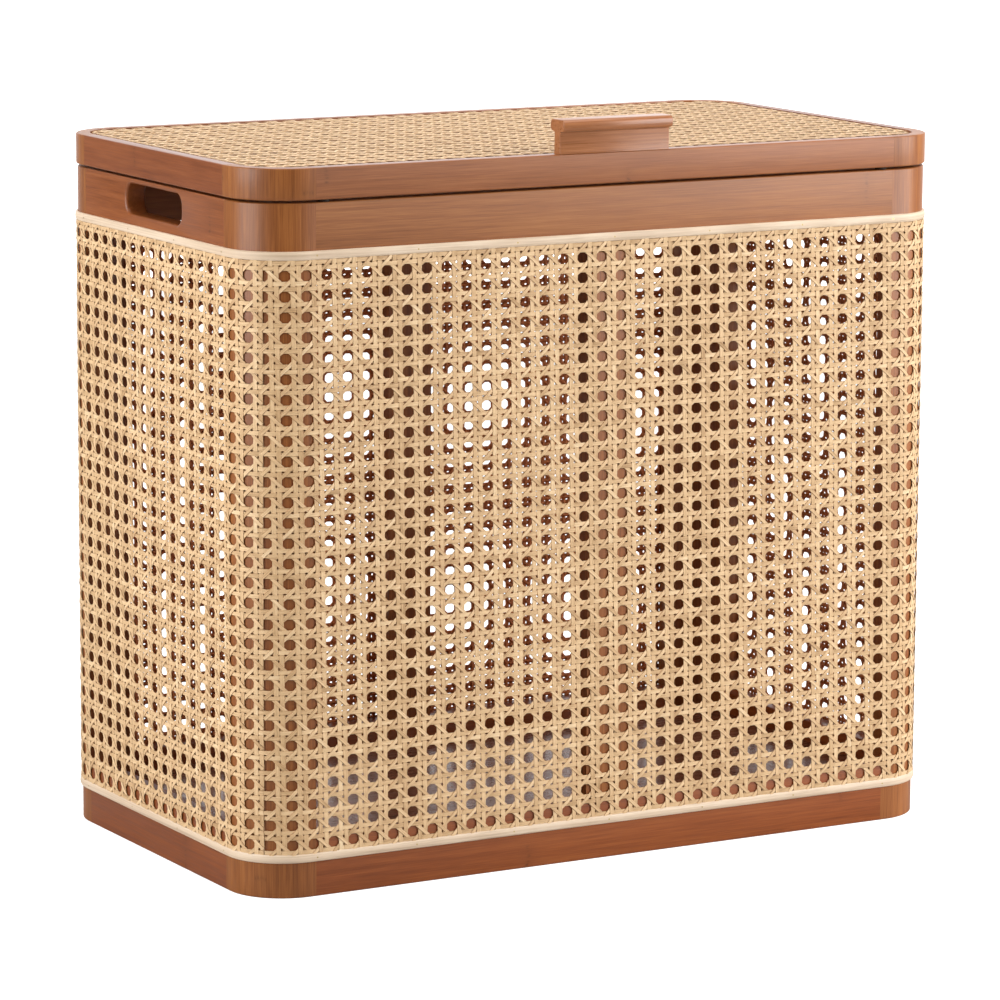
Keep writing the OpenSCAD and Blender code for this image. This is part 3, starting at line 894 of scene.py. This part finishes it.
def pull_outline():
    """Half of the T section in (y, z), from the foot of the board up to the middle of the head."""
    half_t = 4.25 * MM
    head_h = 8.5 * MM
    fillet = 1.0 * MM
    nose = 3.3 * MM
    reach = (PULL_HIGH.y - PULL_LOW.y) / 2
    rise = PULL_HIGH.z - PULL_LOW.z
    under = rise - head_h
    half = [(half_t, 0.0)]
    for i in range(5):
        a = math.radians(180 - 90 * i / 4)
        half.append((half_t + fillet + fillet * math.cos(a), under - fillet + fillet * math.sin(a)))
    for centre_z, start in ((under + nose, -90), (rise - nose, 0)):
        for i in range(7):
            a = math.radians(start + 90 * i / 6)
            half.append((reach - nose + nose * math.cos(a), centre_z + nose * math.sin(a)))
    return half


def inset(outline, d):
    """The outline moved inwards by about d."""
    points = np.array(outline)
    ahead, behind = np.roll(points, -1, 0) - points, points - np.roll(points, 1, 0)
    ahead /= np.linalg.norm(ahead, axis=1)[:, None]
    behind /= np.linalg.norm(behind, axis=1)[:, None]
    normal = np.stack([ahead[:, 1] + behind[:, 1], -ahead[:, 0] - behind[:, 0]], 1)
    normal /= np.maximum(np.linalg.norm(normal, axis=1), 0.2)[:, None]
    moved = points - normal * d
    moved[:, 1] = np.where(points[:, 1] < 1e-9, 0.0, moved[:, 1])
    return moved


def build_pull():
    """T-section bar: an upright board with a wide, rounded head."""
    half = pull_outline()
    outline = half + [(-y, z) for y, z in reversed(half)]
    y_mid = (PULL_LOW.y + PULL_HIGH.y) / 2
    round_off = 0.8 * MM
    ring_at = [(0.0, round_off), (0.3 * round_off, 0.3 * round_off), (round_off, 0.0)]
    ring_at = [(PULL_LOW.x + x, d) for x, d in ring_at]
    ring_at += [(PULL_LOW.x + PULL_HIGH.x - x, d) for x, d in reversed(ring_at)]
    verts, faces = [], []
    count = len(outline)
    for x, d in ring_at:
        verts += [(x, y_mid + y, PULL_LOW.z + z) for y, z in inset(outline, d)]
    for i in range(len(ring_at) - 1):
        for k in range(count):
            a, b = i * count + k, i * count + (k + 1) % count
            faces.append((a, b, b + count, a + count))
    flat = [Vector((y, z, 0.0)) for y, z in outline]
    last = (len(ring_at) - 1) * count
    for a, b, c in tessellate_polygon([flat]):
        faces.append((a, b, c))
        faces.append((last + c, last + b, last + a))
    attrs = {"grain": [(v[0] + 3.1, v[2] + 0.77, v[1]) for v in verts]}
    piece = add_piece("pull_bar", verts, faces, "lid", PULL_MAT, ["pull"], attrs, 40)
    bm = bmesh.new()
    bm.from_mesh(piece.data)
    bmesh.ops.recalc_face_normals(bm, faces=bm.faces[:])
    bm.to_mesh(piece.data)
    bm.free()


# the materials of the CAD nodes that stay, by the start of their names
CAD_MATERIALS = {
    "leaf_": BRASS_MAT,
    "hinge_pin": STEEL_MAT,
    "screws_": STEEL_MAT,
    "brads": BRASS_MAT,
    "lid_bumpers": RUBBER_MAT,
}


def dress_cad_nodes():
    """Gives the CAD's own metal and rubber pieces their materials."""
    for prefix, material in CAD_MATERIALS.items():
        for name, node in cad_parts.items():
            if name.startswith(prefix):
                node.data.materials.clear()
                node.data.materials.append(material)


# ---------------------------------------------------------------- stage, lights and camera

CAMERA_AZIMUTH = -29.714
CAMERA_ELEVATION = 9.961
CAMERA_ROLL = 0.33
CAMERA_DISTANCE = 3.6
CAMERA_TARGET = Vector((0.01086, 0.01988, 0.22922))
FOCAL_SHARE = 4.90376  # focal length as a share of the picture's width
SENSOR = 36.0


def build_camera():
    """The photo's point of view."""
    a, e = math.radians(CAMERA_AZIMUTH), math.radians(CAMERA_ELEVATION)
    back = Vector((math.sin(a) * math.cos(e), -math.cos(a) * math.cos(e), math.sin(e)))
    camera = bpy.data.cameras.new("camera")
    camera.sensor_width = SENSOR
    camera.lens = SENSOR * FOCAL_SHARE
    camera.clip_start, camera.clip_end = 0.1, 60.0
    holder = bpy.data.objects.new("camera", camera)
    bpy.context.scene.collection.objects.link(holder)
    right = (-back).cross(Vector((0, 0, 1))).normalized()
    up = back.cross(right).normalized()
    turn = Matrix((right, up, back)).transposed()
    turn = turn @ Matrix.Rotation(math.radians(CAMERA_ROLL), 3, "Z")
    holder.matrix_world = Matrix.Translation(CAMERA_TARGET + back * CAMERA_DISTANCE) @ turn.to_4x4()
    bpy.context.scene.camera = holder


def area_light(name, at, aim, size, power):
    """A white rectangle of light at a point, turned to its aim."""
    data = bpy.data.lights.new(name, "AREA")
    data.shape = "RECTANGLE"
    data.size, data.size_y = size
    data.energy = power
    light = bpy.data.objects.new(name, data)
    bpy.context.scene.collection.objects.link(light)
    light.location = at
    light.rotation_mode = "QUATERNION"
    light.rotation_quaternion = (Vector(aim) - Vector(at)).to_track_quat("-Z", "Y")


FLOOR_RADIUS = 3.0
FLOOR_GLOW = 0.85  # what the camera sees on top of the light that falls on it


def floor_material():
    """Pale paper: bright to the eye, a little dimmer as a source of bounced light."""
    m = Nodes("floor_paper")
    seen = m.add("ShaderNodeLightPath").outputs["Is Camera Ray"]
    paper = m.noise(m.object_coords(), scale=40.0)
    m.plug(m.shader, "Base Color", m.ramp(paper, [(0.3, (0.42, 0.42, 0.42)), (0.7, (0.45, 0.45, 0.45))]))
    m.set(Roughness=0.9)
    m.plug(m.shader, "Emission Color", (1, 1, 1, 1))
    m.plug(m.shader, "Emission Strength", m.math("MULTIPLY", seen, FLOOR_GLOW))
    return m.material


WALL_TOWARDS = (0.49, 0.87, 0.0)
WALL_EDGE, WALL_FULL = 0.6, 0.95  # cosines off the wall's middle where it starts and is at full brightness
WALL_BRIGHT = 1.9
STUDIO_DIM = 0.12


def build_world():
    """A dim studio with a pale wall behind the hamper."""
    world = bpy.data.worlds.new("studio")
    world.use_nodes = True
    tree = world.node_tree
    background = tree.nodes["Background"]
    towards = tree.nodes.new("ShaderNodeVectorMath")
    towards.operation = "DOT_PRODUCT"
    tree.links.new(tree.nodes.new("ShaderNodeTexCoord").outputs["Generated"], towards.inputs[0])
    towards.inputs[1].default_value = WALL_TOWARDS
    wall = tree.nodes.new("ShaderNodeMapRange")
    for i, value in enumerate((WALL_EDGE, WALL_FULL, STUDIO_DIM, WALL_BRIGHT)):
        wall.inputs[i + 1].default_value = value
    tree.links.new(towards.outputs["Value"], wall.inputs[0])
    seen = tree.nodes.new("ShaderNodeLightPath").outputs["Is Camera Ray"]
    pick = tree.nodes.new("ShaderNodeMath")
    pick.operation = "MAXIMUM"
    tree.links.new(seen, pick.inputs[0])
    tree.links.new(wall.outputs[0], pick.inputs[1])
    tree.links.new(pick.outputs[0], background.inputs["Strength"])
    background.inputs["Color"].default_value = (1, 1, 1, 1)
    bpy.context.scene.world = world


def build_floor():
    """The surface that the hamper stands on."""
    angles = np.linspace(0, 2 * math.pi, 96, False)
    ring = [(FLOOR_RADIUS * math.cos(a), FLOOR_RADIUS * math.sin(a), 0) for a in angles]
    mesh = bpy.data.meshes.new("floor")
    mesh.from_pydata(ring, [], [tuple(range(len(ring)))])
    mesh.materials.append(floor_material())
    floor = bpy.data.objects.new("floor", mesh)
    bpy.context.scene.collection.objects.link(floor)


def build_lights():
    """Softboxes round the hamper, and a very weak lamp inside it."""
    area_light("key_right", (2.3, -1.9, 1.0), (0.1, 0, 0.2), (2.2, 1.9), 99)
    area_light("near_right", (1.42, -1.3, 0.6), (0.1, 0, 0.35), (1.1, 1.0), 5)
    area_light("side_left", (-2.4, 0.0, 1.0), (-0.2, 0, 0.35), (1.8, 1.6), 62)
    area_light("top", (0.2, -0.2, 2.6), (0, 0, 0), (2.4, 2.4), 53)
    inside = bpy.data.lights.new("inside", "POINT")
    inside.energy, inside.shadow_soft_size = 0.08, 0.06
    glow = bpy.data.objects.new("inside", inside)
    glow.location = (0, -0.02, BODY_H * 0.6)
    glow.visible_camera = False
    bpy.context.scene.collection.objects.link(glow)


bpy.context.scene.view_settings.view_transform = "Standard"
build_camera()
build_floor()
build_world()
build_lights()
build_body_frame()
build_lid_frame()
build_walls()
build_lid_cane()
build_bead("reed_low", "bead_lower")
build_bead("reed_high", "bead_upper")
board("floor_panel", "floor_board", "body", 1.3)
board("lid_panel", "lid_board", "lid", 2.9)
build_pull()
dress_cad_nodes()

bpy.context.view_layer.update()
